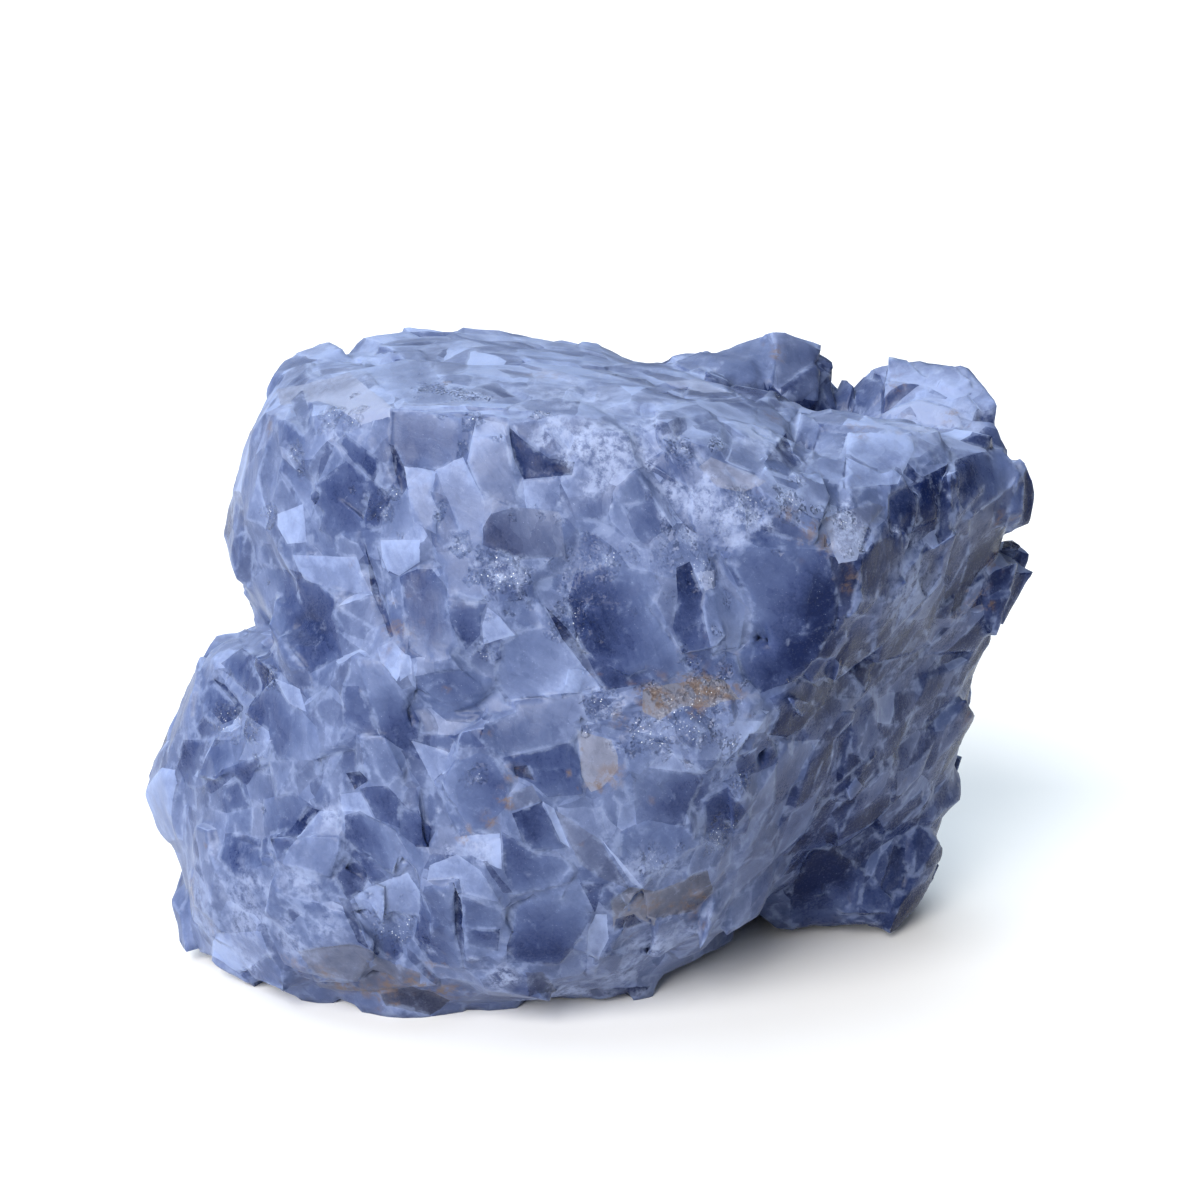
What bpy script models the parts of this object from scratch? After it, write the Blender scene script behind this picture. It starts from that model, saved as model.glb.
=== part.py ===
"""A rough block of blue calcite: one solid stone, resting on its broken base.

X runs to the right, Y to the back and Z up. The origin is on the ground, under the middle of the
stone's bounding box. Broad convex lumps give the body and hollows are cut from it. Its skin is made
of crystals, each one a grain with straight borders that ends in its own flat cleavage faces, a
little above, below or tilted against its neighbours. Open slots are cut between some of them.
"""

import math

import bmesh
import bpy
import numpy as np
from mathutils import Matrix, Vector
from mathutils.bvhtree import BVHTree

MM = 0.001

# Overall width, which sets the scale of the whole stone. It comes out 87 mm high and 75 mm deep.
WIDTH = 127.5 * MM

# Corner points of the convex lumps that make up the body, in millimetres
LUMPS = {
    "upper_block": [
        (-45, 2, 79), (-38, -13, 80.5), (-24, -21, 83.5), (-9, -25, 83), (7, -26, 82.5),
        (16, -18, 81), (-42, 20, 82.5), (-27, 23, 85.5), (-10, 29, 83), (16, 29, 80.5), (20, 8, 80.5),
        (-50, 6, 60), (-47, -9, 57), (-20, -31, 52), (8, -32, 54), (24, -28, 60),
        (-48, 22, 48), (-10, 34, 40), (26, 32, 42), (-30, -26, 36), (16, -30, 38),
    ],
    "heart": [
        (-42, -6, 70), (-40, 18, 70), (30, -18, 62), (40, 12, 66), (-44, -6, 10), (-40, 16, 8),
        (24, -10, 14), (34, 20, 10), (-10, -24, 60), (-10, -26, 16), (0, 28, 60), (0, 28, 12),
        (50, 12, 50), (44, 16, 16),
    ],
    "terrace": [
        (8, -27, 81), (20, -29, 75), (30, -29, 66), (31, -29, 59), (25, -30, 48),
        (56, 1, 74), (60, 6, 66), (56, 14, 42), (36, -7, 77), (14, 4, 82), (52, 14, 74),
        (20, 24, 60), (50, 22, 52),
    ],
    "belly": [
        (-46, -10, 50), (-30, -29, 44), (-12, -34, 46), (12, -31, 48), (25, -29, 46),
        (-50, -12, 30), (-40, -25, 28), (-14, -34, 26), (10, -31, 26), (20, -25, 30),
        (-48, -16, 10), (-26, -26, 5), (-4, -25, 4), (12, -18, 8), (16, -16, 16),
        (-50, 12, 44), (-40, 24, 20), (20, 24, 30),
    ],
    "left_bulge": [
        (-52, -3, 46), (-50, 14, 46), (-56, -2, 33), (-57, 16, 30), (-63.3, 6, 21), (-57, 2, 13),
        (-50, -17, 28), (-48, -16, 8), (-57, -2, 8), (-57, 14, 6), (-52, 24, 14), (-34, -8, 50),
        (-30, 20, 50), (-28, -22, 30), (-28, -20, 6), (-44, 28, 30),
    ],
    "base": [
        (-57, -4, 0), (-46, -11, 0), (-26, -21, 0), (-5, -21, 0), (8, -15, 0), (15, -9, 0),
        (-60, 0, 6), (-47, -16, 7), (-26, -26, 8), (-3, -25, 8), (14, -16, 10),
        (28, 22, 0), (10, 28, 0), (-24, 28, 0), (-50, 16, 0), (-58, 14, 12), (-26, 34, 14),
        (14, 34, 14), (34, 28, 12),
    ],
    "right_flank": [
        (24, -27, 50), (21, -25, 34), (17, -18, 18), (14, -10, 6), (57, 14, 46), (55, 15, 32),
        (54.5, 17, 20), (28, 8, 8), (48, 28, 12), (24, 34, 20), (53, 27, 48), (20, 34, 50),
    ],
    "right_foot": [
        (26, 7, 0), (36, 6, 0), (44, 5, 0), (49, 14, 3), (51, 15, 9), (54.5, 16, 22), (28, 0, 12),
        (44, 28, 0), (26, 30, 0), (48, 29, 14), (22, 2, 6), (16, 32, 12),
    ],
    "back_peak": [
        (25, 27, 87), (11, 24, 81.5), (37, 27, 82), (20, 14, 76), (32, 18, 74), (10, 32, 70),
        (30, 34, 64), (22, 34, 76), (8, 20, 66), (36, 20, 60),
    ],
    "right_peak": [
        (39, 28, 81.5), (46, 28, 83), (55, 23, 82.5), (59, 14, 77.5), (57, 22, 70), (42, 16, 74),
        (52, 12, 73), (30, 33, 70), (50, 30, 62), (34, 14, 62), (56, 14, 56), (54, 26, 52),
        (30, 33, 50),
    ],
    "right_tip": [
        (62, 7, 66), (57, 2, 74), (59, 0, 64), (60, 8, 58), (50, 0, 72), (48, 2, 58),
        (57, 14, 72), (60, 18, 62), (46, 14, 64), (54, 26, 66),
    ],
    "side_tip": [
        (65, 11, 54), (59, 7, 56), (61, 12, 46), (58, 8, 43), (57, 22, 57), (56, 24, 42),
        (46, 6, 52), (46, 26, 48),
    ],
    "shoulder": [
        (16, -30, 55), (26, -28.5, 55), (28, -25, 47), (17, -31, 43), (25, -26, 40), (25, -28, 50),
        (20, -10, 56), (30, -10, 42), (12, -12, 40), (10, -14, 54),
    ],
    "apron": [
        (9, -30, 26), (17, -26, 27), (24, -16, 23), (12, -25, 13.5), (16, -19, 9), (20.5, -12, 7.5),
        (24.5, -5, 6.5), (10, -10, 7), (25, 3, 9), (27, -9, 17), (8, -21, 7.5), (26, -8, 26),
    ],
    "waist": [
        (-42, -15, 53), (-36, -21, 56), (-24, -29.5, 55), (-22, -32, 45), (-32, -28.5, 43),
        (-40, -24, 37), (-45, -14, 47), (-30, -10, 56), (-30, -10, 40),
    ],
    "left_toe": [
        (-56, -4, 3), (-52, -9, 2), (-47, -15, 2.5), (-38, -21, 3), (-30, -25, 4), (-56, -7, 12),
        (-50, -17, 14), (-43, -22.5, 14), (-35, -27, 16), (-28, -28.5, 14), (-54, -10, 20),
        (-47, -19, 24), (-37, -28, 24), (-50, 10, 10), (-30, 10, 10),
    ],
    "back_wall": [
        (-42, 28, 66), (-14, 34, 68), (20, 35, 66), (46, 31, 58), (-50, 26, 28), (-16, 38, 30),
        (22, 38, 32), (48, 30, 26), (0, 20, 70), (-36, 23, 78), (-6, 31, 78),
        (-46, 24, 6), (-10, 32, 4), (20, 33, 4), (36, 29, 6),
    ],
}

# Corner points of the hollows that are cut out of the body, in millimetres
HOLLOWS = {
    "top_valley": [
        (14, 8, 86), (40, 2, 82), (58, 8, 82), (30, 22, 86), (16, 20, 88), (50, 20, 84),
        (28, 12, 73), (44, 11, 72), (34, 18, 73), (56, 13, 76),
    ],
    "terrace_pit": [
        (22, -14, 84), (34, -16, 80), (32, -4, 84), (22, -4, 86), (27, -11, 73), (29, -8, 74),
    ],
}

# The skin of crystals. Each fills the space nearest its own middle, down to its depth.
FRONT_GAP = 4.0 * MM
BACK_GAP = 9.5 * MM
CANDIDATES = 15000
CRYSTAL_REACH = 17 * MM
CRYSTAL_DEPTH = 7 * MM
CRYSTAL_STRETCH = 1.45
CRYSTAL_LAP = 0.05 * MM
NEIGHBOUR_REACH = 30 * MM
SEED = 3

# How each crystal's own faces stand against the broad form
FACE_RISE = 0.5 * MM
MOST_RISE = 0.8 * MM
FACE_TILT = math.radians(9)
SECOND_FACE_SHARE = 0.45
SECOND_FACE_LEAN = math.radians(24)
RIDGE_LEAN = math.radians(24)
RIDGE_REACH = 11 * MM

# The crystals stand on a core this far inside the broad form, which itself swells a little
CORE_INSET = 2.0 * MM
FORM_SWELL = 0.8 * MM

# The crystals run down the stone, leaning to the right at the front and to the left on the flank
GRAIN_FRONT = Vector((0.36, 0.0, -0.93)).normalized()
GRAIN_FLANK = Vector((-0.5, -0.3, -0.8)).normalized()
FLANK_START = 20 * MM

TRIANGLE_LIMIT = 9600

# The front's crystals and slots are placed as seen from here, on a sheet 1200 units square
VIEW_POINT = Vector((1.1, -371.2, 155.5)) * MM
VIEW_PITCH = math.radians(15.56)
SHEET_MIDDLE = 600
SHEET_FOCUS = 2833.3

# Middles of the crystals on the front, across and down the sheet, with a size where it isn't 1
FRONT_CRYSTALS = [
    # top left shoulder and rim
    (304, 353), (350, 364), (338, 388), (407, 372), (430, 345), (477, 385), (535, 380), (512, 345),
    (604, 350), (622, 393), (570, 412), (662, 372), (660, 410), (470, 350), (560, 345),
    # upper left front
    (300, 430), (352, 418), (290, 495), (262, 470), (238, 480), (232, 520), (290, 535), (345, 480),
    (378, 452), (425, 435), (395, 530), (455, 500), (490, 450), (333, 528),
    # middle left front
    (265, 590), (320, 575), (355, 610), (418, 594), (466, 621), (434, 670), (393, 662), (300, 640),
    (361, 692), (500, 570),
    # upper middle
    (546, 455), (600, 450), (538, 500), (519, 535), (634, 507), (679, 465), (723, 502), (748, 456),
    (585, 480), (700, 435),
    # the big deep blue faces in the middle
    (613, 570), (627, 635, 1.3), (684, 600, 1.2), (546, 655), (549, 610),
    # the fan slab
    (772, 585, 1.7),
    # left edge, stepped blue crystals and lobe
    (249, 660), (221, 699), (212, 742), (258, 738), (249, 772), (154, 805), (189, 840), (281, 772),
    (215, 645), (294, 838), (249, 855), (325, 850),
    # middle band with the tan seam
    (546, 729), (608, 703), (663, 712), (715, 705), (599, 762), (695, 742), (558, 772), (475, 784),
    (338, 749), (377, 765), (418, 735), (407, 818), (489, 825), (660, 760),
    # lower middle
    (627, 800), (737, 807), (661, 840), (714, 864), (535, 825), (581, 835), (633, 878), (594, 894),
    (661, 900), (558, 871), (516, 875), (373, 855), (350, 880), (450, 860),
    # bottom
    (200, 898), (212, 938), (292, 914), (361, 928), (384, 903), (300, 965), (350, 980), (457, 905),
    (466, 950), (546, 921), (599, 935), (650, 944), (718, 921), (560, 975), (520, 1000),
    (440, 1000), (620, 980), (250, 965), (690, 960),
    # terrace
    (766, 415), (743, 440), (784, 440), (812, 450), (858, 449), (862, 488), (816, 500), (780, 480),
    (927, 449), (915, 491), (984, 470), (850, 530), (800, 525),
    # back ridges
    (743, 357), (789, 346), (800, 380), (849, 392), (915, 364), (881, 410), (927, 410), (979, 395),
    (718, 372), (692, 385), (965, 368), (1003, 412),
    # right flank, upper
    (943, 510), (931, 571), (881, 571), (984, 520), (1030, 490), (1025, 564), (1014, 610),
    (973, 587), (869, 633), (846, 575), (915, 640), (965, 640),
    # right flank, lower
    (823, 676), (800, 703), (835, 715), (760, 761), (892, 720), (869, 749), (940, 700), (823, 770),
    (915, 760), (950, 750), (867, 807), (908, 807), (950, 810), (807, 820), (766, 864), (899, 871),
    (849, 855), (823, 900), (870, 918), (922, 905), (754, 910), (780, 930), (930, 850), (755, 700),
]

# Open slots on the front: two ends on the sheet, then width and depth in millimetres
SLOTS = {
    "shoulder": ((302, 396), (308, 440), 2.2, 2.4),
    "shoulder_corner": ((338, 438), (374, 478), 2.2, 1.8),
    "brow": ((397, 445), (399, 490), 1.6, 2.2),
    "long_crack": ((366, 542), (391, 640), 1.3, 2.4),
    "rim_crack": ((392, 405), (560, 411), 0.9, 1.0),
    "tan_seam": ((602, 716), (736, 690), 2.4, 1.8),
    "left_pit": ((353, 764), (357, 797), 3.2, 2.4),
    "left_groove": ((374, 800), (426, 846), 2.2, 1.8),
    "bottom_slot": ((456, 884), (455, 966), 1.4, 2.2),
    "bottom_notch": ((578, 908), (604, 918), 2.2, 2.0),
    "flank_lens": ((937, 472), (944, 538), 2.6, 2.4),
    "flank_lens_low": ((924, 552), (927, 590), 2.4, 2.2),
    "foot_slot": ((892, 852), (899, 894), 2.6, 2.2),
}

BLUE = (0.19, 0.24, 0.44, 1.0)
ROUGHNESS = 0.35


def start_clean():
    for obj in list(bpy.data.objects):
        bpy.data.objects.remove(obj)


def new_collection(name):
    made = bpy.data.collections.new(name)
    bpy.context.scene.collection.children.link(made)
    return made


def new_object(name, bm, collection):
    mesh = bpy.data.meshes.new(name)
    bm.to_mesh(mesh)
    bm.free()
    obj = bpy.data.objects.new(name, mesh)
    collection.objects.link(obj)
    return obj


def hide_helpers(collection):
    collection.hide_render = True
    for obj in collection.objects:
        obj.hide_render = True
        obj.display_type = "WIRE"


def hull(name, corners, collection, inset=0):
    """The convex lump whose corners these are, drawn in by the inset and kept above the ground."""
    bm = bmesh.new()
    for corner in corners:
        bm.verts.new(corner)
    bmesh.ops.convex_hull(bm, input=bm.verts)
    inner = [v for v in bm.verts if not v.link_faces]
    bmesh.ops.delete(bm, geom=inner, context="VERTS")
    bmesh.ops.recalc_face_normals(bm, faces=bm.faces)
    bm.normal_update()
    for vert in bm.verts:
        vert.co -= vert.normal * inset
        vert.co.z = max(vert.co.z, 0)
    return new_object(name, bm, collection)


def corner_points(corners_mm):
    return [Vector(corner) * MM for corner in corners_mm]


def combine(target, operation, collection, solver="EXACT"):
    """Joins or cuts the target with everything in the collection, and keeps the result as its mesh."""
    modifier = target.modifiers.new(operation.lower(), "BOOLEAN")
    modifier.operation = operation
    modifier.operand_type = "COLLECTION"
    modifier.collection = collection
    modifier.solver = solver
    keep_result(target)
    hide_helpers(collection)


def keep_result(obj):
    """Makes what the object's modifiers give its own mesh."""
    graph = bpy.context.evaluated_depsgraph_get()
    mesh = bpy.data.meshes.new_from_object(obj.evaluated_get(graph))
    obj.modifiers.clear()
    obj.data = mesh


def make_body(name, parts, inset):
    """The stone's broad form: its lumps joined, less its hollows."""
    lumps = new_collection(name + "_lumps")
    hollows = new_collection(name + "_hollows")
    first, *others = LUMPS
    body = hull(name, corner_points(LUMPS[first]), parts, inset)
    for lump in others:
        hull(f"{name}_{lump}", corner_points(LUMPS[lump]), lumps, inset)
    combine(body, "UNION", lumps)
    for hollow, corners in HOLLOWS.items():
        hull(f"{name}_{hollow}", corner_points(corners), hollows, -inset)
    combine(body, "DIFFERENCE", hollows)
    return body


def sight_line(across, down):
    """The direction from the view point to a place on the sheet."""
    right = Vector((1, 0, 0))
    up = Vector((0, math.sin(VIEW_PITCH), math.cos(VIEW_PITCH)))
    ahead = Vector((0, math.cos(VIEW_PITCH), -math.sin(VIEW_PITCH)))
    aside = (across - SHEET_MIDDLE) / SHEET_FOCUS
    above = (SHEET_MIDDLE - down) / SHEET_FOCUS
    return (right * aside + up * above + ahead).normalized()


def fine_surface(form):
    """The form's surface in small faces, so that a point's surroundings are evenly sampled."""
    bm = bmesh.new()
    bm.from_mesh(form.data)
    bmesh.ops.triangulate(bm, faces=bm.faces)
    for _ in range(3):
        long_edges = [e for e in bm.edges if e.calc_length() > FRONT_GAP]
        bmesh.ops.subdivide_edges(bm, edges=long_edges, cuts=1)
        bmesh.ops.triangulate(bm, faces=bm.faces)
    tree = BVHTree.FromBMesh(bm)
    bm.free()
    return tree


def soft_normal(surface, point):
    """The way the surface faces around a point, averaged over a crystal's width."""
    total = Vector()
    reach = FRONT_GAP * 1.2
    for _, normal, _, distance in surface.find_nearest_range(point, reach):
        total += normal * (reach * 1.2 - distance)
    return total.normalized()


def front_middles(surface):
    """The middles and sizes of the crystals placed on the front."""
    found = []
    for across, down, *size in FRONT_CRYSTALS:
        hit = surface.ray_cast(VIEW_POINT, sight_line(across, down))[0]
        if hit is not None and all((hit - kept).length > FRONT_GAP for kept, _ in found):
            found.append((hit, size[0] if size else 1.0))
    return found


def random_point(corners, rng):
    """A point anywhere on a triangle."""
    a, b, c = corners
    s, t = rng.random(2)
    if s + t > 1:
        s, t = 1 - s, 1 - t
    return a + (b - a) * s + (c - a) * t


def crystal_middles(form, surface, rng):
    """The middles and sizes of all crystals: the front's, then others spread over the rest."""
    mesh = form.data
    mesh.calc_loop_triangles()
    triangles = [[mesh.vertices[i].co for i in tri.vertices] for tri in mesh.loop_triangles]
    areas = np.array([tri.area for tri in mesh.loop_triangles])
    found = front_middles(surface)
    for k in rng.choice(len(triangles), size=CANDIDATES, p=areas / areas.sum()):
        point = random_point(triangles[k], rng)
        if all((point - kept).length > BACK_GAP for kept, _ in found):
            found.append((point, rng.uniform(0.8, 1.25)))
    return found


def form_planes(form_tree, middle):
    """The different faces of the form around a crystal, as points and normals, without hollow ones."""
    found = []
    for point, normal, _, _ in form_tree.find_nearest_range(middle, CRYSTAL_REACH):
        if (middle - point).dot(normal) > 0.5 * MM:
            continue
        if all(normal.angle(kept) > math.radians(8) for _, kept in found):
            found.append((point, normal))
    return found


def border_normal(start, end):
    """Which way the border between two crystals faces, so that they come out long along the grain."""
    step = end - start
    grain = GRAIN_FLANK if (start.x + end.x) / 2 > FLANK_START else GRAIN_FRONT
    step -= grain * step.dot(grain) * (1 - 1 / CRYSTAL_STRETCH ** 2)
    return step.normalized()


def cut(bm, point, normal):
    """Cuts away what is past a plane, and closes the cut."""
    found = bmesh.ops.bisect_plane(
        bm,
        geom=bm.verts[:] + bm.edges[:] + bm.faces[:],
        dist=1e-7,
        plane_co=point,
        plane_no=normal,
        clear_outer=True,
    )
    edges = [e for e in found["geom_cut"] if isinstance(e, bmesh.types.BMEdge)]
    if edges:
        bmesh.ops.edgenet_fill(bm, edges=edges)


def crystal(middle, size, normal, neighbours, planes, rng):
    """One crystal: the space nearer to its middle than to its neighbours', under its own faces."""
    bm = bmesh.new()
    bmesh.ops.create_cube(bm, size=2 * CRYSTAL_REACH)
    facing = normal.to_track_quat("Z", "Y").to_matrix().to_4x4()
    bmesh.ops.transform(bm, matrix=Matrix.Translation(middle) @ facing, verts=bm.verts)
    cut(bm, middle - normal * CRYSTAL_DEPTH, -normal)
    for other, other_size in neighbours:
        away = border_normal(middle, other)
        border = middle.lerp(other, size / (size + other_size))
        cut(bm, border + away * CRYSTAL_LAP, away)
    side = Matrix.Rotation(rng.uniform(0, 2 * math.pi), 3, normal) @ normal.orthogonal()
    tilt = Matrix.Rotation(rng.uniform(0, FACE_TILT), 3, side)
    rise = rng.uniform(-FACE_RISE, FACE_RISE)
    top = middle + normal * rise
    cut(bm, top, tilt @ normal)
    if rng.random() < SECOND_FACE_SHARE:
        cut(bm, top, Matrix.Rotation(SECOND_FACE_LEAN, 3, side) @ tilt @ normal)
    for point, other in planes:
        cut(bm, point + other * MOST_RISE, other)
        if normal.angle(other) > RIDGE_LEAN and (point - middle).length < RIDGE_REACH:
            cut(bm, point + other * rise, tilt @ other)
    bmesh.ops.recalc_face_normals(bm, faces=bm.faces)
    return bm


def add_crystals(stone, form, surface):
    crystals = new_collection("crystals")
    form_tree = BVHTree.FromObject(form, bpy.context.evaluated_depsgraph_get())
    rng = np.random.default_rng(SEED)
    middles = crystal_middles(form, surface, rng)
    for k, (middle, size) in enumerate(middles):
        normal = soft_normal(surface, middle)
        near = [other for other in middles if 0 < (other[0] - middle).length < NEIGHBOUR_REACH]
        planes = form_planes(form_tree, middle)
        bm = crystal(middle, size, normal, near, planes, rng)
        if bm.faces:
            new_object(f"crystal_{k:03d}", bm, crystals)
    combine(stone, "UNION", crystals)


def cut_slots(stone, surface):
    """Cuts a wedge along each slot, deepest in its middle."""
    slots = new_collection("slots")
    for name, (start, end, width, depth) in SLOTS.items():
        ends = [surface.ray_cast(VIEW_POINT, sight_line(*place))[0] for place in (start, end)]
        middle = (ends[0] + ends[1]) / 2
        outward = soft_normal(surface, surface.find_nearest(middle)[0])
        side = outward.cross(ends[1] - ends[0]).normalized()
        corners = [point + outward * 0.3 * MM for point in ends]
        for point in (middle, ends[0].lerp(middle, 0.5), ends[1].lerp(middle, 0.5)):
            share = 1 if point is middle else 0.7
            for sign in (-1, 1):
                corners.append(point + side * sign * width * share * MM + outward * 3 * MM)
                corners.append(point + side * sign * 0.12 * MM - outward * depth * share * MM)
        hull("slot_" + name, corners, slots)
    combine(stone, "DIFFERENCE", slots, "MANIFOLD")


def cut_base(stone):
    """Cuts the foot off flat, where the stone rests."""
    bm = bmesh.new()
    bm.from_mesh(stone.data)
    cut(bm, Vector((0, 0, 0)), Vector((0, 0, -1)))
    bmesh.ops.recalc_face_normals(bm, faces=bm.faces)
    bm.to_mesh(stone.data)
    bm.free()


def keep_outer_shell(stone):
    """Fills the small pockets that neighbouring crystals enclose, by keeping the outer surface alone."""
    bm = bmesh.new()
    bm.from_mesh(stone.data)
    seen, shells = set(), []
    for start in bm.verts:
        if start in seen:
            continue
        shell, reach = [], [start]
        seen.add(start)
        while reach:
            vert = reach.pop()
            shell.append(vert)
            linked = {edge.other_vert(vert) for edge in vert.link_edges} - seen
            seen |= linked
            reach.extend(linked)
        shells.append(shell)
    shells.sort(key=len)
    for shell in shells[:-1]:
        bmesh.ops.delete(bm, geom=shell, context="VERTS")
    bm.to_mesh(stone.data)
    bm.free()


def merge_slivers(stone):
    """Merges the smallest faces that the joins leave, down to the triangle limit."""
    triangles = sum(len(face.vertices) - 2 for face in stone.data.polygons)
    modifier = stone.modifiers.new("slivers", "DECIMATE")
    modifier.ratio = min(1.0, TRIANGLE_LIMIT / triangles)
    keep_result(stone)


def place(stone):
    """Scales the stone to its width and stands it on the ground over the origin."""
    places = np.array([vert.co for vert in stone.data.vertices])
    low, high = places.min(axis=0), places.max(axis=0)
    scale = WIDTH / (high[0] - low[0])
    middle = Vector(((low[0] + high[0]) / 2, (low[1] + high[1]) / 2, low[2]))
    stone.data.transform(Matrix.Scale(scale, 4) @ Matrix.Translation(-middle))


def paint(stone):
    material = bpy.data.materials.new("blue_calcite")
    material.use_nodes = True
    shader = material.node_tree.nodes["Principled BSDF"]
    shader.inputs["Base Color"].default_value = BLUE
    shader.inputs["Roughness"].default_value = ROUGHNESS
    shader.inputs["Metallic"].default_value = 0
    stone.data.materials.clear()
    stone.data.materials.append(material)


def main():
    start_clean()
    parts = new_collection("rough_blue_calcite")
    guides = new_collection("guides")
    stone = make_body("blue_calcite", parts, CORE_INSET)
    form = make_body("form", guides, -FORM_SWELL)
    hide_helpers(guides)
    surface = fine_surface(form)
    add_crystals(stone, form, surface)
    cut_slots(stone, surface)
    keep_outer_shell(stone)
    merge_slivers(stone)
    cut_base(stone)
    keep_outer_shell(stone)
    place(stone)
    paint(stone)


main()
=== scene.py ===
"""Rough blue calcite: one broken stone of cleavable crystals, on a pale floor.

The stone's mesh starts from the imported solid. Its flat faces are split into chips, the chips are
raised, tipped and worn, and each carries its own tone and its own direction of cleavage.
Lengths are in metres. Places on the sheet are pixels of the 1200 by 1200 photograph.
"""

import math
from collections import defaultdict

import bmesh
import bpy
import numpy as np
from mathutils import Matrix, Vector, kdtree
from mathutils.bvhtree import BVHTree


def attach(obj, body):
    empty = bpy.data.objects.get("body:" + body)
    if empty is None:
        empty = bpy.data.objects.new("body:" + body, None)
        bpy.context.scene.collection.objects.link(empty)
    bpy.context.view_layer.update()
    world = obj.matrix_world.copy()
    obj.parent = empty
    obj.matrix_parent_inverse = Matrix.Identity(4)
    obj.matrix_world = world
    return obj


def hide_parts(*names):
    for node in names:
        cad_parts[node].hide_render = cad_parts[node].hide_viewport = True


MM = 0.001
NODE = "blue_calcite"
SEED = 4

# The camera, and where it sees a place of the sheet
EYE = Vector((1.716, -373.01, 155.48)) * MM
PITCH = math.radians(15.56)
LENS = 85.0
SENSOR = 36.0
SHEET_MIDDLE = 600.0
SHEET_FOCUS = 2833.3
RIGHT = Vector((1.0, 0.0, 0.0))
AHEAD = Vector((0.0, math.cos(PITCH), -math.sin(PITCH)))
UP = Vector((0.0, math.sin(PITCH), math.cos(PITCH)))

# The mesh
FACET_ANGLE = math.radians(7)
CHIP_SPAN = 7.5 * MM
LONG_EDGE_FRONT = 1.7 * MM
LONG_EDGE_BACK = 2.6 * MM
MOST_ROUNDS = 6
WELD = 1e-7

SIGHT_SLACK = 0.4 * MM
SQUARE = 30
ON_PLANE = 2e-6
TINY = 1e-14

# Relief of the chips
CHIP_RISE = 0.06 * MM
CHIP_TILT = 0.022
CHIP_FLAT = 0.7
MOST_LIFT = 0.45 * MM
# Patches darker than this tone are cracks: they are sunk, and their near-black colour is painted shade inside the
# crack
SHADED_SLOT_TONE = 0.03
SLOT_SINK = 0.4 * MM
SOFT_ROUNDS = 78
SOFT_STEP = 0.6
SOFT_FRONT, SOFT_BACK = 0.95, 0.6
MOST_SHIFT = 1.5 * MM
WEAR_ROUNDS = 1
WEAR = 0.2
WAVE = 0.1 * MM
WAVE_SPAN = 4.0 * MM
FLOOR_SKIN = 0.05 * MM

# Cleavage directions of the front and of the right flank
GRAIN_FRONT = Vector((0.36, 0.0, -0.93)).normalized()
GRAIN_FLANK = Vector((-0.5, -0.3, -0.8)).normalized()
FLANK_START = 20 * MM

# Tones of the crystals that aren't traced: their spread; and painted light and shade on all chips: tops painted
# paler as if lit from above, the right flank painted darker and cooler as if in shade
TONE_MEAN = 0.46
DEEP_LIMIT, DEEP_SHARE = 0.4, 0.72
TONE_SPREAD_FRONT = 0.08
TONE_SPREAD_BACK = 0.15
TOP_PAINTED_LIGHT = 0.26
FLANK_PAINTED_SHADE = 0.42
FLANK_SHADE_COOLING = 0.6
TONE_DRIFT = 0.03 / MM
MOST_DRIFT = 0.2
BLUR_ROUNDS = 5

GAP_REACH = 4.0
PIXEL = MM / 7.3
SPREAD_FROST, SPREAD_STAIN, SPREAD_GLINT = 10, 8, 6

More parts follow.
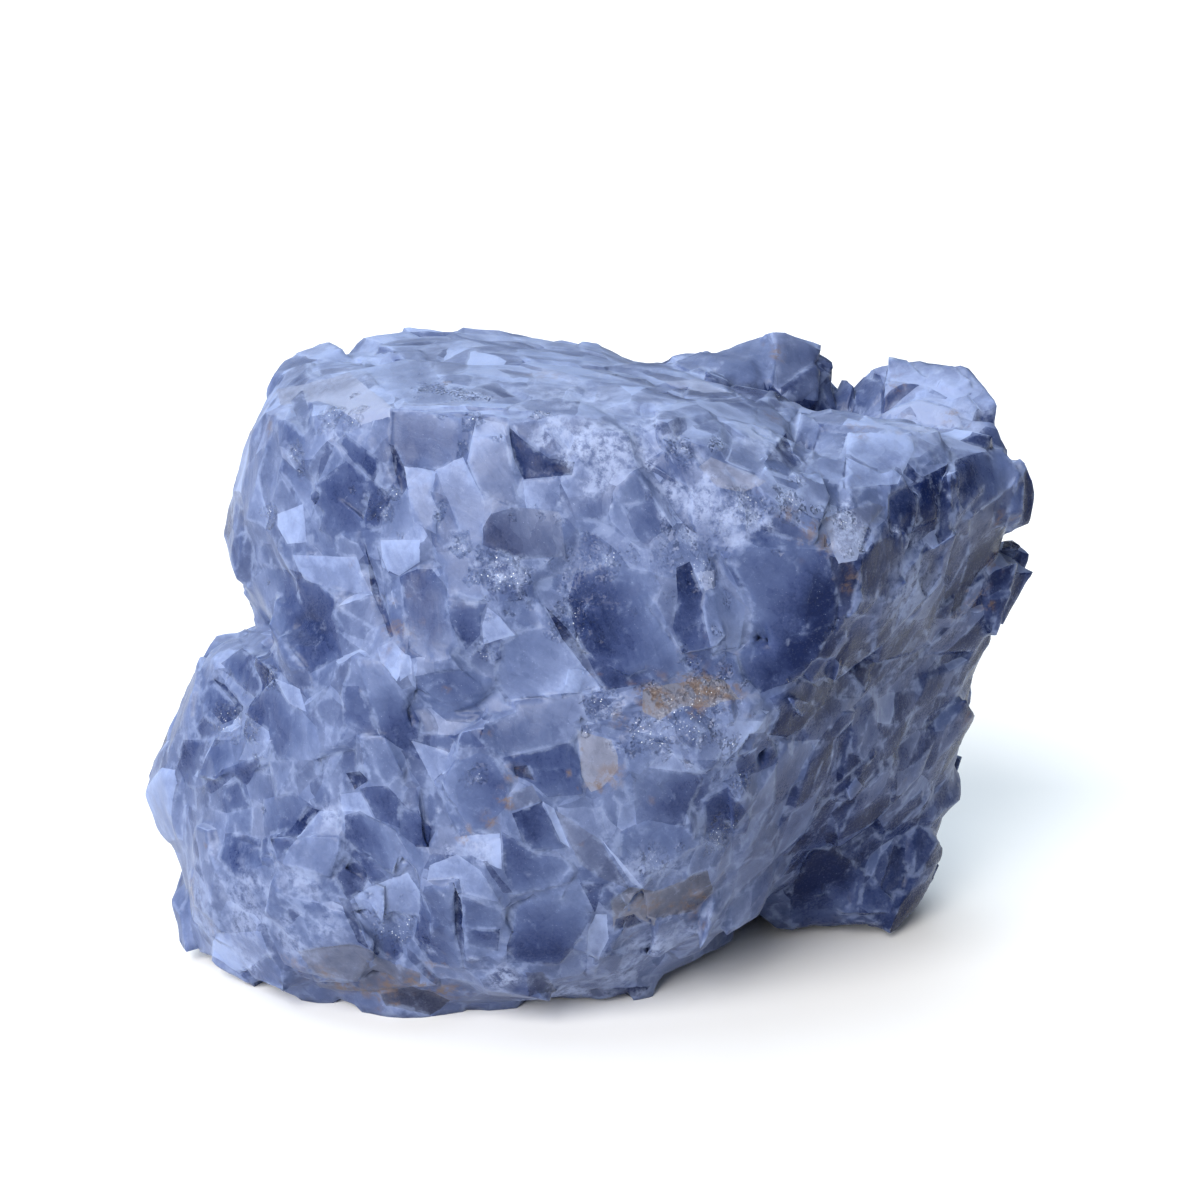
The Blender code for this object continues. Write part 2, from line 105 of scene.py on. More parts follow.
# Crystals seen in the photograph: tone, warmth, then the corners of the face on the sheet
PATCHES = [
    # upper left block
    (0.48, 0.0, (356, 359), (420, 351), (456, 400), (444, 402), (409, 406), (383, 387)),
    (0.66, 0.5, (277, 391), (350, 373), (391, 406), (391, 418), (362, 426), (338, 408), (318, 400), (281, 406)),
    (0.08, 0.1, (291, 402), (303, 391), (316, 434), (311, 446), (305, 440)),
    (0.06, 0.0, (336, 442), (345, 434), (379, 459), (379, 471), (373, 482)),
    (0.50, 0.0, (319, 481), (336, 442), (345, 461)),
    (0.22, 0.0, (320, 481), (346, 461), (375, 483), (391, 496), (383, 516), (381, 528), (342, 534),
     (336, 539), (320, 530), (324, 512), (311, 498)),
    (0.02, 0.1, (389, 444), (395, 446), (404, 467), (406, 487), (401, 495), (397, 483)),
    (0.40, 0.0, (393, 412), (471, 412), (475, 463), (436, 471), (403, 466), (391, 442)),
    (0.62, 0.1, (478, 418), (503, 424), (520, 506), (513, 508), (481, 493), (467, 461), (473, 436)),
    (0.80, 0.1, (478, 418), (503, 424), (506, 436), (474, 437)),
    (0.02, 0.0, (509, 428), (526, 442), (550, 459), (575, 462), (572, 475), (524, 479), (513, 459)),
    (0.60, 0.0, (523, 481), (560, 479), (560, 508), (526, 508)),
    (0.34, 0.3, (491, 514), (515, 507), (560, 512), (566, 556), (520, 560), (483, 545), (483, 528)),
    (0.72, 0.0, (403, 466), (436, 471), (432, 489), (438, 510), (436, 534), (413, 522), (409, 497)),
    (0.62, 0.0, (436, 471), (462, 457), (481, 493), (485, 504), (481, 545), (464, 540), (456, 524), (446, 498)),
    (0.36, 0.0, (430, 491), (446, 496), (456, 522), (462, 540), (436, 551), (438, 510)),
    (0.88, 0.0, (277, 514), (303, 504), (307, 542), (287, 544), (277, 526)),
    # peaks and hollow at the back
    (0.04, 0.0, (673, 365), (767, 326), (777, 351), (773, 387), (754, 402), (713, 377), (683, 371)),
    (0.30, 0.2, (771, 326), (836, 359), (838, 369), (826, 367), (816, 361), (777, 398), (775, 351)),
    (0.05, 0.2, (777, 391), (813, 363), (830, 375), (801, 402), (779, 400)),
    (0.04, 0.0, (820, 387), (849, 373), (887, 385), (875, 405), (859, 420), (832, 411)),
    (0.06, 0.2, (662, 391), (695, 391), (724, 391), (746, 402), (687, 400)),
    (0.62, 0.4, (664, 383), (697, 379), (734, 393), (683, 391)),
    (0.52, 0.1, (855, 367), (922, 348), (983, 360), (1000, 387), (951, 399), (930, 387), (887, 379)),
    (0.76, 0.3, (873, 418), (918, 401), (955, 411), (963, 428), (918, 432)),
    (0.20, 0.2, (895, 418), (910, 409), (918, 422)),
    # rim with crust, and the terrace
    (0.38, 0.0, (646, 461), (667, 449), (691, 453), (709, 475), (693, 489), (683, 485)),
    (0.14, 0.1, (646, 462), (683, 485), (693, 490), (690, 493), (650, 470)),
    (0.10, 0.1, (697, 457), (702, 457), (715, 477), (707, 473)),
    (0.52, 0.6, (711, 457), (767, 481), (744, 493), (716, 487), (699, 467)),
    (0.32, 0.1, (736, 436), (764, 442), (767, 469), (754, 473), (728, 461)),
    (0.50, 0.0, (758, 408), (799, 410), (777, 442), (754, 430)),
    (0.01, 0.0, (764, 463), (785, 434), (793, 451), (803, 463), (789, 475), (767, 469)),
    (0.14, 0.0, (801, 414), (826, 430), (805, 461), (793, 451)),
    (0.10, 0.0, (773, 475), (807, 485), (797, 489), (777, 483)),
    (0.48, 0.0, (813, 459), (842, 459), (857, 469), (844, 487), (816, 481), (803, 473)),
    (0.72, 0.1, (789, 491), (836, 508), (836, 522), (811, 516), (787, 500)),
    (0.22, 0.0, (838, 504), (860, 508), (858, 517), (840, 522)),
    (0.28, 0.0, (820, 428), (847, 434), (840, 458), (857, 469), (842, 459), (813, 459)),
    (0.56, 0.0, (847, 434), (910, 434), (914, 450), (898, 483), (844, 487)),
    (0.30, 0.0, (922, 467), (951, 448), (947, 462)),
    # middle left
    (0.34, 0.0, (243, 595), (263, 565), (304, 573), (339, 600), (334, 620), (342, 656), (309, 673), (276, 633)),
    (0.62, 0.0, (240, 593), (260, 611), (266, 623), (253, 633), (236, 618)),
    (0.10, 0.0, (236, 621), (273, 653), (283, 673), (266, 668), (240, 640)),
    (0.10, 0.0, (221, 663), (243, 648), (269, 668), (274, 678), (253, 698), (240, 686)),
    (0.58, 0.0, (216, 669), (223, 671), (256, 698), (250, 706), (241, 703)),
    (0.00, 0.0, (213, 679), (223, 684), (243, 707), (240, 712)),
    (0.10, 0.0, (198, 698), (213, 683), (240, 711), (236, 719), (223, 724)),
    (0.33, 0.0, (256, 698), (276, 679), (298, 708), (318, 729), (324, 760), (276, 760), (268, 731), (246, 714)),
    (0.74, 0.0, (274, 678), (301, 689), (306, 712), (289, 704)),
    (0.34, 0.2, (283, 673), (306, 668), (316, 690), (298, 688)),
    (0.72, 0.0, (293, 555), (356, 557), (372, 595), (336, 590), (303, 580)),
    (0.02, 0.1, (364, 543), (368, 560), (379, 590), (393, 636), (389, 638), (371, 590)),
    (0.80, 0.0, (381, 540), (420, 540), (420, 562), (399, 576), (382, 567)),
    (0.38, 0.0, (382, 570), (399, 576), (420, 565), (430, 655), (405, 660), (390, 620)),
    (0.76, 0.0, (377, 648), (392, 640), (409, 659), (397, 681), (381, 666)),
    (0.26, 0.0, (342, 686), (359, 686), (380, 736), (359, 736), (344, 722)),
    (0.36, 0.0, (357, 656), (376, 656), (409, 699), (420, 722), (420, 760), (380, 736)),
    # middle
    (0.36, 0.0, (400, 577), (418, 569), (432, 569), (447, 590), (446, 601), (460, 647), (450, 659),
     (431, 662), (409, 647)),
    (0.50, 0.0, (437, 552), (464, 551), (474, 568), (490, 601), (469, 598), (447, 590), (434, 560)),
    (0.24, 0.0, (474, 555), (489, 560), (486, 568), (478, 568)),
    (0.16, 0.0, (447, 601), (487, 604), (481, 617), (480, 635), (466, 650), (452, 626)),
    (0.54, 0.0, (495, 578), (530, 575), (542, 604), (562, 638), (591, 670), (602, 692), (568, 693),
     (510, 699), (495, 681), (500, 647), (516, 635), (500, 617)),
    (0.40, 0.0, (504, 601), (535, 601), (541, 626), (516, 632)),
    (0.80, 0.0, (568, 670), (591, 670), (602, 692), (584, 695), (565, 685)),
    (0.74, 0.0, (487, 607), (500, 617), (515, 635), (498, 640), (484, 644), (482, 626)),
    (0.26, 0.0, (489, 646), (501, 643), (501, 659), (492, 662)),
    (0.07, 0.3, (545, 606), (565, 626), (599, 670), (602, 687), (584, 667), (562, 638)),
    (0.20, 0.0, (575, 574), (604, 563), (653, 573), (661, 586), (650, 610), (670, 638), (693, 673),
     (645, 684), (604, 690), (576, 635), (568, 601)),
    (0.38, 0.0, (415, 676), (446, 670), (474, 672), (492, 678), (495, 708), (474, 724), (446, 721), (417, 693)),
    (0.66, 0.0, (496, 687), (513, 710), (490, 716), (477, 705)),
    (0.76, 0.0, (400, 653), (411, 656), (412, 673), (400, 681)),
    (0.48, 0.1, (513, 701), (581, 693), (587, 721), (575, 741), (530, 757), (495, 751), (477, 745),
     (486, 724), (516, 713)),
    (0.20, 0.0, (450, 736), (469, 731), (486, 747), (461, 748)),
    # dark strip, fan slab and the seam under them
    (0.07, 0.0, (676, 568), (690, 562), (703, 595), (701, 606), (713, 640), (713, 656), (723, 653),
     (736, 656), (743, 681), (723, 679), (693, 676), (673, 628), (678, 598)),
    (0.52, 0.0, (705, 593), (726, 590), (746, 606), (739, 646), (726, 649), (713, 654), (703, 610)),
    (0.92, 0.4, (695, 573), (715, 570), (715, 588), (705, 591)),
    (0.31, 0.0, (715, 545), (827, 550), (837, 573), (839, 595), (834, 628), (821, 646), (807, 676),
     (783, 683), (761, 694), (741, 673), (736, 653), (749, 640), (753, 606), (736, 573)),
    (0.30, 0.7, (829, 557), (852, 560), (859, 575), (852, 611), (837, 633), (839, 606)),
    (0.12, 0.1, (816, 659), (837, 659), (834, 681), (821, 706), (804, 727), (786, 737), (768, 734),
     (779, 714), (769, 698), (796, 684)),
    (0.52, 0.1, (826, 696), (860, 698), (819, 739), (802, 760), (787, 760), (811, 726)),
    (0.70, 1.0, (643, 689), (666, 684), (686, 683), (695, 679), (723, 679), (739, 699), (719, 703),
     (713, 707), (683, 706), (668, 714), (660, 721), (642, 711)),
    (0.70, 0.1, (700, 732), (734, 721), (763, 721), (753, 734), (726, 760), (691, 760), (698, 747)),
    (0.14, 0.1, (749, 734), (766, 732), (769, 739), (733, 762), (743, 749)),
    # lower left
    (0.26, 0.0, (183, 740), (244, 740), (240, 763), (220, 770), (203, 788), (192, 788), (178, 767)),
    (0.66, 0.0, (247, 742), (272, 740), (265, 751), (254, 760), (240, 760)),
    (0.12, 0.0, (240, 763), (263, 756), (254, 776), (247, 785), (235, 776), (211, 794), (204, 786), (220, 770)),
    (0.74, 0.0, (163, 767), (176, 769), (178, 783), (170, 817), (174, 840), (161, 845), (140, 817), (144, 790)),
    (0.16, 0.0, (226, 833), (247, 835), (261, 840), (261, 865), (247, 872), (254, 886), (236, 879), (219, 858)),
    (0.33, 0.0, (265, 799), (294, 792), (317, 808), (292, 829), (265, 836)),
    (0.08, 0.0, (308, 806), (320, 810), (285, 851), (274, 865), (261, 863), (263, 840), (292, 828)),
    (0.62, 0.0, (320, 811), (333, 811), (340, 819), (338, 854), (331, 877), (315, 872), (283, 865), (286, 851)),
    (0.00, 0.1, (345, 774), (358, 772), (367, 781), (354, 790)),
    (0.09, 0.0, (361, 788), (388, 786), (420, 820), (420, 845), (403, 829), (376, 819)),
    (0.72, 0.0, (340, 794), (361, 792), (374, 819), (354, 811), (342, 811)),
    (0.30, 0.0, (345, 815), (360, 811), (395, 831), (411, 861), (397, 879), (394, 890), (374, 888),
     (370, 878), (361, 861), (344, 851)),
    (0.04, 0.1, (344, 858), (358, 860), (370, 878), (360, 894), (349, 901), (333, 876)),
    (0.12, 0.2, (338, 897), (349, 899), (369, 949), (358, 942)),
    (0.74, 0.0, (353, 897), (372, 885), (408, 872), (420, 892), (420, 915), (390, 911), (363, 919)),
    (0.44, 0.0, (356, 910), (394, 915), (404, 954), (395, 961), (367, 942)),
    (0.12, 0.1, (281, 915), (290, 908), (302, 913), (294, 920)),
    (0.76, 0.0, (215, 935), (262, 930), (270, 960), (240, 972), (212, 955)),
    (0.50, 0.7, (297, 951), (354, 945), (420, 972), (420, 986), (354, 990), (320, 986)),
    (0.30, 0.0, (242, 974), (265, 956), (281, 970), (283, 990), (265, 992)),
    (0.14, 0.0, (195, 961), (226, 978), (199, 972)),
    (0.08, 0.8, (379, 990), (420, 988), (450, 1000), (430, 1016), (386, 1006)),
    # lower middle
    (0.36, 0.0, (459, 761), (480, 752), (496, 760), (511, 783), (507, 806), (486, 829), (461, 836),
     (455, 826), (434, 781)),
    (0.66, 0.0, (411, 740), (446, 751), (459, 758), (434, 781), (427, 772)),
    (0.17, 0.0, (500, 758), (575, 742), (584, 776), (582, 794), (548, 797), (532, 783), (516, 776)),
    (0.02, 0.3, (514, 767), (527, 765), (534, 780), (516, 776)),
    (0.84, 0.8, (577, 730), (611, 740), (618, 756), (618, 769), (602, 788), (591, 792), (582, 777)),
    (0.44, 0.4, (511, 792), (532, 785), (541, 801), (511, 811)),
    (0.10, 0.0, (512, 813), (541, 802), (566, 847), (543, 851), (529, 851), (523, 842)),
    (0.84, 0.0, (543, 802), (554, 808), (570, 848), (561, 842)),
    (0.36, 0.0, (502, 831), (523, 844), (534, 854), (566, 858), (573, 867), (557, 886), (514, 895), (504, 869)),
    (0.32, 0.0, (511, 897), (557, 888), (579, 879), (593, 911), (579, 940), (561, 963), (507, 963),
     (507, 942), (514, 929)),
    (0.04, 0.1, (580, 883), (604, 883), (595, 913)),
    (0.34, 0.0, (425, 886), (455, 879), (464, 926), (463, 970), (429, 963), (414, 940)),
    (0.46, 0.0, (462, 897), (500, 908), (512, 927), (505, 954), (466, 960)),
    (0.20, 0.0, (466, 929), (500, 929), (498, 951), (466, 945)),
    (0.00, 0.1, (454, 881), (462, 911), (464, 969), (455, 935)),
    (0.72, 0.0, (430, 865), (457, 854), (480, 870), (500, 901), (462, 894), (459, 879), (427, 881)),
    (0.84, 0.1, (462, 836), (500, 833), (502, 869), (482, 861), (459, 847)),
    (0.16, 0.2, (482, 861), (487, 861), (513, 893), (503, 893)),
    (0.10, 0.0, (400, 808), (418, 811), (432, 829), (429, 847), (416, 847), (400, 833)),
    (0.42, 0.4, (555, 810), (600, 840), (629, 888), (604, 879), (580, 865)),
    (0.80, 0.1, (602, 840), (614, 854), (648, 893), (632, 883)),
    (0.78, 0.1, (596, 915), (607, 915), (609, 940), (593, 974), (586, 972), (589, 929)),
    (0.52, 0.9, (611, 901), (629, 888), (660, 892), (654, 924), (632, 913), (614, 929)),
    (0.06, 0.3, (616, 919), (632, 913), (641, 922), (614, 933)),
    (0.05, 0.5, (525, 972), (543, 972), (557, 990), (529, 997)),
    (0.05, 0.5, (585, 990), (650, 985), (640, 996), (590, 1003)),
    # lower right of the front
    (0.72, 0.1, (648, 768), (663, 747), (683, 760), (707, 773), (685, 773)),
    (0.26, 0.1, (633, 783), (646, 768), (707, 775), (692, 799), (685, 827), (637, 831)),
    (0.06, 0.0, (702, 801), (728, 788), (750, 816), (746, 833), (707, 833)),
    (0.44, 0.0, (620, 831), (646, 820), (685, 827), (702, 844), (674, 859), (640, 874), (620, 857)),
    (0.42, 0.9, (627, 896), (663, 890), (707, 870), (713, 892), (696, 911), (663, 918), (642, 916)),
    # right flank
    (0.42, 0.1, (889, 495), (947, 464), (938, 495), (934, 520), (904, 532), (891, 532)),
    (0.00, 0.2, (947, 471), (951, 501), (951, 536), (940, 544), (936, 534), (940, 513), (938, 495)),
    (0.40, 0.0, (951, 473), (961, 487), (959, 509), (953, 524)),
    (0.00, 0.2, (926, 542), (942, 558), (940, 577), (926, 599), (920, 581), (920, 558)),
    (0.50, 0.1, (955, 460), (996, 448), (1030, 454), (1016, 479), (993, 509), (971, 520), (961, 503)),
    (0.20, 0.9, (971, 518), (1016, 483), (1018, 495), (996, 552), (975, 575), (963, 611), (951, 613), (967, 562)),
    (0.36, 0.0, (1032, 454), (1051, 495), (1018, 546), (1012, 560), (1000, 552), (1016, 495)),
    (0.02, 0.1, (996, 552), (1016, 544), (1012, 562), (1004, 556)),
    (0.34, 0.0, (871, 544), (900, 530), (906, 591), (891, 601), (863, 595), (861, 560)),
    (0.10, 0.0, (842, 615), (874, 616), (874, 653), (864, 691), (836, 659), (849, 640)),
    (0.80, 0.6, (820, 520), (869, 503), (885, 507), (869, 524), (857, 560), (838, 564)),
    (0.16, 0.0, (735, 762), (746, 740), (772, 740), (780, 762), (741, 779)),
    (0.54, 0.1, (780, 740), (820, 740), (785, 796), (772, 812), (776, 773)),
    (0.14, 0.1, (828, 792), (869, 757), (876, 753), (848, 788), (833, 799)),
    (0.12, 0.1, (882, 827), (922, 790), (924, 803), (891, 833)),
    (0.03, 0.0, (791, 887), (811, 851), (833, 848), (865, 870), (859, 914), (828, 931), (789, 933)),
    (0.00, 0.1, (895, 846), (906, 848), (904, 890), (889, 896), (882, 887)),
    (0.44, 0.0, (902, 896), (939, 874), (939, 896), (906, 942), (889, 935)),
]

# Places on the sheet with a reach in pixels and a strength
FROST_PLACES = [
    (590, 445, 34, 1.0), (560, 428, 24, 0.9), (630, 440, 34, 1.0), (650, 425, 30, 0.8), (600, 480, 16, 0.8),
    (592, 492, 12, 0.8), (700, 500, 30, 0.8), (735, 515, 28, 0.8), (675, 490, 18, 0.7), (760, 520, 16, 0.6),
    (330, 380, 40, 0.4), (290, 455, 14, 0.3), (245, 900, 44, 0.5), (205, 930, 40, 0.6), (240, 955, 34, 0.7),
    (200, 890, 30, 0.5), (290, 940, 30, 0.5), (300, 880, 24, 0.4), (330, 925, 26, 0.4),
    (480, 845, 20, 0.8), (500, 978, 24, 0.9), (560, 995, 40, 1.0), (620, 975, 34, 0.9), (660, 950, 34, 0.9),
    (690, 935, 24, 0.7), (850, 530, 26, 0.9), (960, 415, 30, 0.6), (920, 425, 30, 0.6), (640, 870, 26, 0.5),
    (330, 815, 16, 0.8), (500, 570, 14, 0.9), (520, 574, 12, 0.9), (610, 460, 24, 0.8),
]
STAIN_PLACES = [
    (372, 990, 20, 1.0), (392, 982, 20, 1.0), (415, 983, 22, 1.0), (440, 990, 20, 1.0), (345, 985, 18, 0.8),
    (325, 975, 16, 0.7), (300, 970, 14, 0.6),
    (655, 700, 22, 1.0), (700, 690, 24, 1.0), (730, 695, 16, 0.9), (610, 775, 16, 0.8), (600, 785, 10, 1.0),
    (511, 775, 8, 1.0), (505, 800, 9, 0.9), (490, 822, 9, 1.0), (465, 835, 8, 1.0), (484, 728, 5, 1.0),
    (790, 515, 12, 0.8), (810, 530, 12, 0.9), (825, 545, 12, 0.9), (850, 580, 14, 0.7), (640, 905, 22, 0.7),
    (690, 900, 24, 0.8), (990, 560, 16, 0.9), (975, 600, 16, 0.8), (1000, 520, 12, 0.8), (775, 350, 10, 0.7),
    (860, 430, 18, 0.6), (900, 385, 12, 0.6), (950, 420, 12, 0.8), (620, 720, 12, 0.6), (270, 425, 12, 0.5),
]
GLINT_PLACES = [
    (333, 418, 12, 1.0), (355, 418, 10, 1.0), (295, 455, 9, 0.7), (427, 385, 14, 1.0), (465, 395, 14, 1.0),
    (470, 420, 10, 0.9), (383, 510, 12, 0.8), (395, 495, 8, 0.8), (270, 515, 7, 0.8), (505, 573, 22, 1.0),
    (268, 678, 12, 0.8), (230, 722, 20, 0.8), (250, 730, 14, 0.8), (690, 715, 36, 1.0), (655, 735, 26, 1.0),
    (602, 706, 14, 0.9), (612, 560, 12, 0.5), (475, 775, 10, 0.5), (575, 620, 20, 0.6), (680, 450, 12, 0.8),
    (716, 445, 6, 0.9), (745, 505, 16, 0.6), (790, 505, 14, 0.8), (845, 520, 14, 0.8), (720, 835, 20, 0.6),
    (655, 860, 16, 0.5), (690, 560, 30, 0.4), (464, 548, 10, 0.8), (485, 650, 8, 0.7),
]


def sight_line(across, down):
    """The direction from the eye through a place of the sheet."""
    ray = AHEAD + RIGHT * ((across - SHEET_MIDDLE) / SHEET_FOCUS)
    return (ray + UP * ((SHEET_MIDDLE - down) / SHEET_FOCUS)).normalized()


def on_sheet(point):
    """Where a point shows on the sheet."""
    ray = point - EYE
    depth = ray.dot(AHEAD)
    across = SHEET_MIDDLE + SHEET_FOCUS * ray.dot(RIGHT) / depth
    return across, SHEET_MIDDLE - SHEET_FOCUS * ray.dot(UP) / depth


def span_of(places):
    across = [place[0] for place in places]
    down = [place[1] for place in places]
    return min(across), max(across), min(down), max(down)


def overlap(a, b):
    return a[0] <= b[1] and b[0] <= a[1] and a[2] <= b[3] and b[2] <= a[3]


def inside(place, corners):
    across, down = place
    found = False
    for (ax, ay), (bx, by) in zip(corners, corners[1:] + corners[:1]):
        if (ay > down) != (by > down) and across < (bx - ax) * (down - ay) / (by - ay) + ax:
            found = not found
    return found


def cells_under(span):
    """The squares of the sheet that a span touches."""
    left, right, top, bottom = (int(value // SQUARE) for value in span)
    return [(i, j) for i in range(left, right + 1) for j in range(top, bottom + 1)]


def trace_patches(bm, layer):
    """Cuts the crystals seen from the front into the stone's faces and numbers them."""
    tree = BVHTree.FromBMesh(bm)
    spans = {}
    squares = defaultdict(dict)

    def note(face):
        spans[face] = span_of([on_sheet(vert.co) for vert in face.verts])
        for cell in cells_under(spans[face]):
            squares[cell][face] = True

    for face in bm.faces:
        way = face.calc_center_median() - EYE
        if face.normal.dot(way) < 0:
            reached = tree.ray_cast(EYE, way.normalized())[3]
            if reached is not None and reached > way.length - SIGHT_SLACK:
                note(face)
    for number, (_, _, *corners) in enumerate(PATCHES):
        patch_span = span_of(corners)
        near = dict.fromkeys(face for cell in cells_under(patch_span) for face in squares[cell])
        near = {face: True for face in near if overlap(spans[face], patch_span)}
        for start, end in zip(corners, corners[1:] + corners[:1]):
            edge_span = span_of((start, end))
            crossed = [face for face in near if overlap(spans[face], edge_span)]
            if not crossed:
                continue
            plane = sight_line(*start).cross(sight_line(*end)).normalized()
            for face in bisect(crossed, EYE, plane):
                note(face)
                near[face] = True
        for face in near:
            if inside(on_sheet(face.calc_center_median()), corners):
                face[layer] = number


def stone_from(node):
    """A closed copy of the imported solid's mesh."""
    bm = bmesh.new()
    bm.from_mesh(node.data)
    bm.transform(node.matrix_world)
    bmesh.ops.remove_doubles(bm, verts=bm.verts, dist=WELD)
    bmesh.ops.dissolve_degenerate(bm, dist=WELD, edges=bm.edges)
    bmesh.ops.triangulate(bm, faces=bm.faces)
    return bm


def mark_facets(bm, layer):
    """Numbers the flat faces of the stone, from the largest triangle down."""
    for face in bm.faces:
        face[layer] = -1
    count = 0
    for start in sorted(bm.faces, key=lambda face: -face.calc_area()):
        if start[layer] >= 0:
            continue
        start[layer] = count
        todo = [start]
        while todo:
            face = todo.pop()
            for edge in face.edges:
                for other in edge.link_faces:
                    if other[layer] < 0 and other.normal.angle(start.normal, 0) < FACET_ANGLE:
                        other[layer] = count
                        todo.append(other)
        count += 1
    return count


def faces_by(bm, layer):
    groups = defaultdict(list)
    for face in bm.faces:
        groups[face[layer]].append(face)
    return groups


def grain_at(point):
    return GRAIN_FLANK if point.x > FLANK_START + 6 * MM else GRAIN_FRONT


def bisect(faces, point, normal):
    """Cuts convex faces along a plane and returns all that they became."""
    heights = {}

    def height(vert):
        if vert not in heights:
            value = (vert.co - point).dot(normal)
            heights[vert] = 0.0 if abs(value) < ON_PLANE else value
        return heights[vert]

    for edge in dict.fromkeys(edge for face in faces for edge in face.edges):
        first, second = (height(vert) for vert in edge.verts)
        if first * second < 0:
            vert = bmesh.utils.edge_split(edge, edge.verts[0], first / (first - second))[1]
            heights[vert] = 0.0
    parts = list(faces)
    for face in faces:
        values = [height(vert) for vert in face.verts]
        on_cut = [vert for vert in face.verts if height(vert) == 0]
        if len(on_cut) == 2 and min(values) < 0 < max(values):
            parts.append(bmesh.utils.face_split(face, *on_cut)[0])
    return parts


def split_chips(bm, facet, chip, rng):
    """Splits large facets into chips along planes near the cleavage."""
    count = len(PATCHES)
    for _, faces in sorted(faces_by(bm, facet).items()):
        todo = [faces]
        while todo:
            faces = todo.pop()
            points = [vert.co for face in faces for vert in face.verts]
            middle = sum(points, Vector()) / len(points)
            normal = sum((face.normal * face.calc_area() for face in faces), Vector()).normalized()
            grain = grain_at(middle)
            along = (grain - normal * grain.dot(normal)).normalized()
            across = normal.cross(along)
            span_along = max(p.dot(along) for p in points) - min(p.dot(along) for p in points)
            span_across = max(p.dot(across) for p in points) - min(p.dot(across) for p in points)
            limit = CHIP_SPAN * rng.uniform(0.6, 1.5)
            if max(span_along / 1.5, span_across) < limit:
                for face in faces:
                    face[chip] = count
                count += 1
                continue
            turn = rng.normal(0, 0.35)
            lead = along if span_along / 1.5 > span_across else across
            side = across if lead is along else along
            plane = (lead * math.cos(turn) + side * math.sin(turn) + normal * rng.normal(0, 0.2)).normalized()
            place = middle + lead * rng.uniform(-0.15, 0.15) * max(span_along, span_across)
            cut = bisect(faces, place, plane)
            above = [face for face in cut if (face.calc_center_median() - place).dot(plane) > 0]
            below = [face for face in cut if (face.calc_center_median() - place).dot(plane) <= 0]
            if not above or not below:
                for face in cut:
                    face[chip] = count
                count += 1
                continue
            todo += [above, below]
    return count


def area_of(places):
    """The area of a flat convex ring of places."""
    total = Vector()
    for first, second in zip(places[1:], places[2:]):
        total += (first - places[0]).cross(second - places[0])
    return total.length / 2


def best_diagonal(bm, face):
    """The corners to join so that both parts are large and the join is short and new."""
    verts = list(face.verts)
    count = len(verts)
    best, found = -1.0, None
    for i in range(count - 2):
        for j in range(i + 2, count if i else count - 1):
            if bm.edges.get((verts[i], verts[j])) is not None:
                continue
            one = area_of([vert.co for vert in verts[i:j + 1]])
            other = area_of([vert.co for vert in verts[j:] + verts[:i + 1]])
            score = min(one, other) / max((verts[i].co - verts[j].co).length_squared, TINY)
            if score > best:
                best, found = score, (verts[i], verts[j])
    return found


def only_triangles(bm):
    """Splits the faces into triangles and leaves the mesh closed, as Blender's own split doesn't."""
    todo = [face for face in bm.faces if len(face.verts) > 3]
    while todo:
        face = todo.pop()
        corners = best_diagonal(bm, face)
        if corners is not None:
            made = bmesh.utils.face_split(face, *corners)[0]
            todo += [part for part in (face, made) if len(part.verts) > 3]


def refine(bm):
    """Halves long edges until none is left."""
    for _ in range(MOST_ROUNDS):
        long_edges = []
        for edge in bm.edges:
            front = sum((face.normal.y for face in edge.link_faces), 0.0) < 0.2
            limit = LONG_EDGE_FRONT if front else LONG_EDGE_BACK
            if edge.calc_length() > limit:
                long_edges.append((-edge.calc_length(), edge.index, edge))
        if not long_edges:
            break
        for _, _, edge in sorted(long_edges):
            vert = bmesh.utils.edge_split(edge, edge.verts[0], 0.5)[1]
            for loop in list(vert.link_loops):
                bmesh.utils.face_split(loop.face, vert, loop.link_loop_next.link_loop_next.vert)
        bm.edges.index_update()
        bm.normal_update()


def rows(mesh):
    """The mesh's points, triangles, edges and chip numbers as arrays."""
    points = np.empty(len(mesh.vertices) * 3)
    mesh.vertices.foreach_get("co", points)
    faces = np.empty(len(mesh.polygons) * 3, int)
    mesh.polygons.foreach_get("vertices", faces)
    edges = np.empty(len(mesh.edges) * 2, int)
    mesh.edges.foreach_get("vertices", edges)
    chips = np.empty(len(mesh.polygons), int)
    mesh.attributes["chip"].data.foreach_get("value", chips)
    return points.reshape(-1, 3), faces.reshape(-1, 3), edges.reshape(-1, 2), chips


def unit(vectors):
    return vectors / np.maximum(np.linalg.norm(vectors, axis=-1, keepdims=True), 1e-12)


def chip_frames(points, faces, chips):
    """Each chip's middle, normal and cleavage direction."""
    a, b, c = (points[faces[:, k]] for k in range(3))
    normals = np.cross(b - a, c - a)
    areas = np.linalg.norm(normals, axis=1) / 2
    count = chips.max() + 1
    middles = np.zeros((count, 3))
    sums = np.zeros((count, 3))
    weights = np.zeros(count)
    np.add.at(middles, chips, (a + b + c) / 3 * areas[:, None])
    np.add.at(sums, chips, normals)
    np.add.at(weights, chips, areas)
    middles /= np.maximum(weights, 1e-15)[:, None]
    normals = unit(sums)
    flank = middles[:, 0] > FLANK_START + 6 * MM
    grain = np.where(flank[:, None], np.array(GRAIN_FLANK), np.array(GRAIN_FRONT))
    return middles, normals, grain


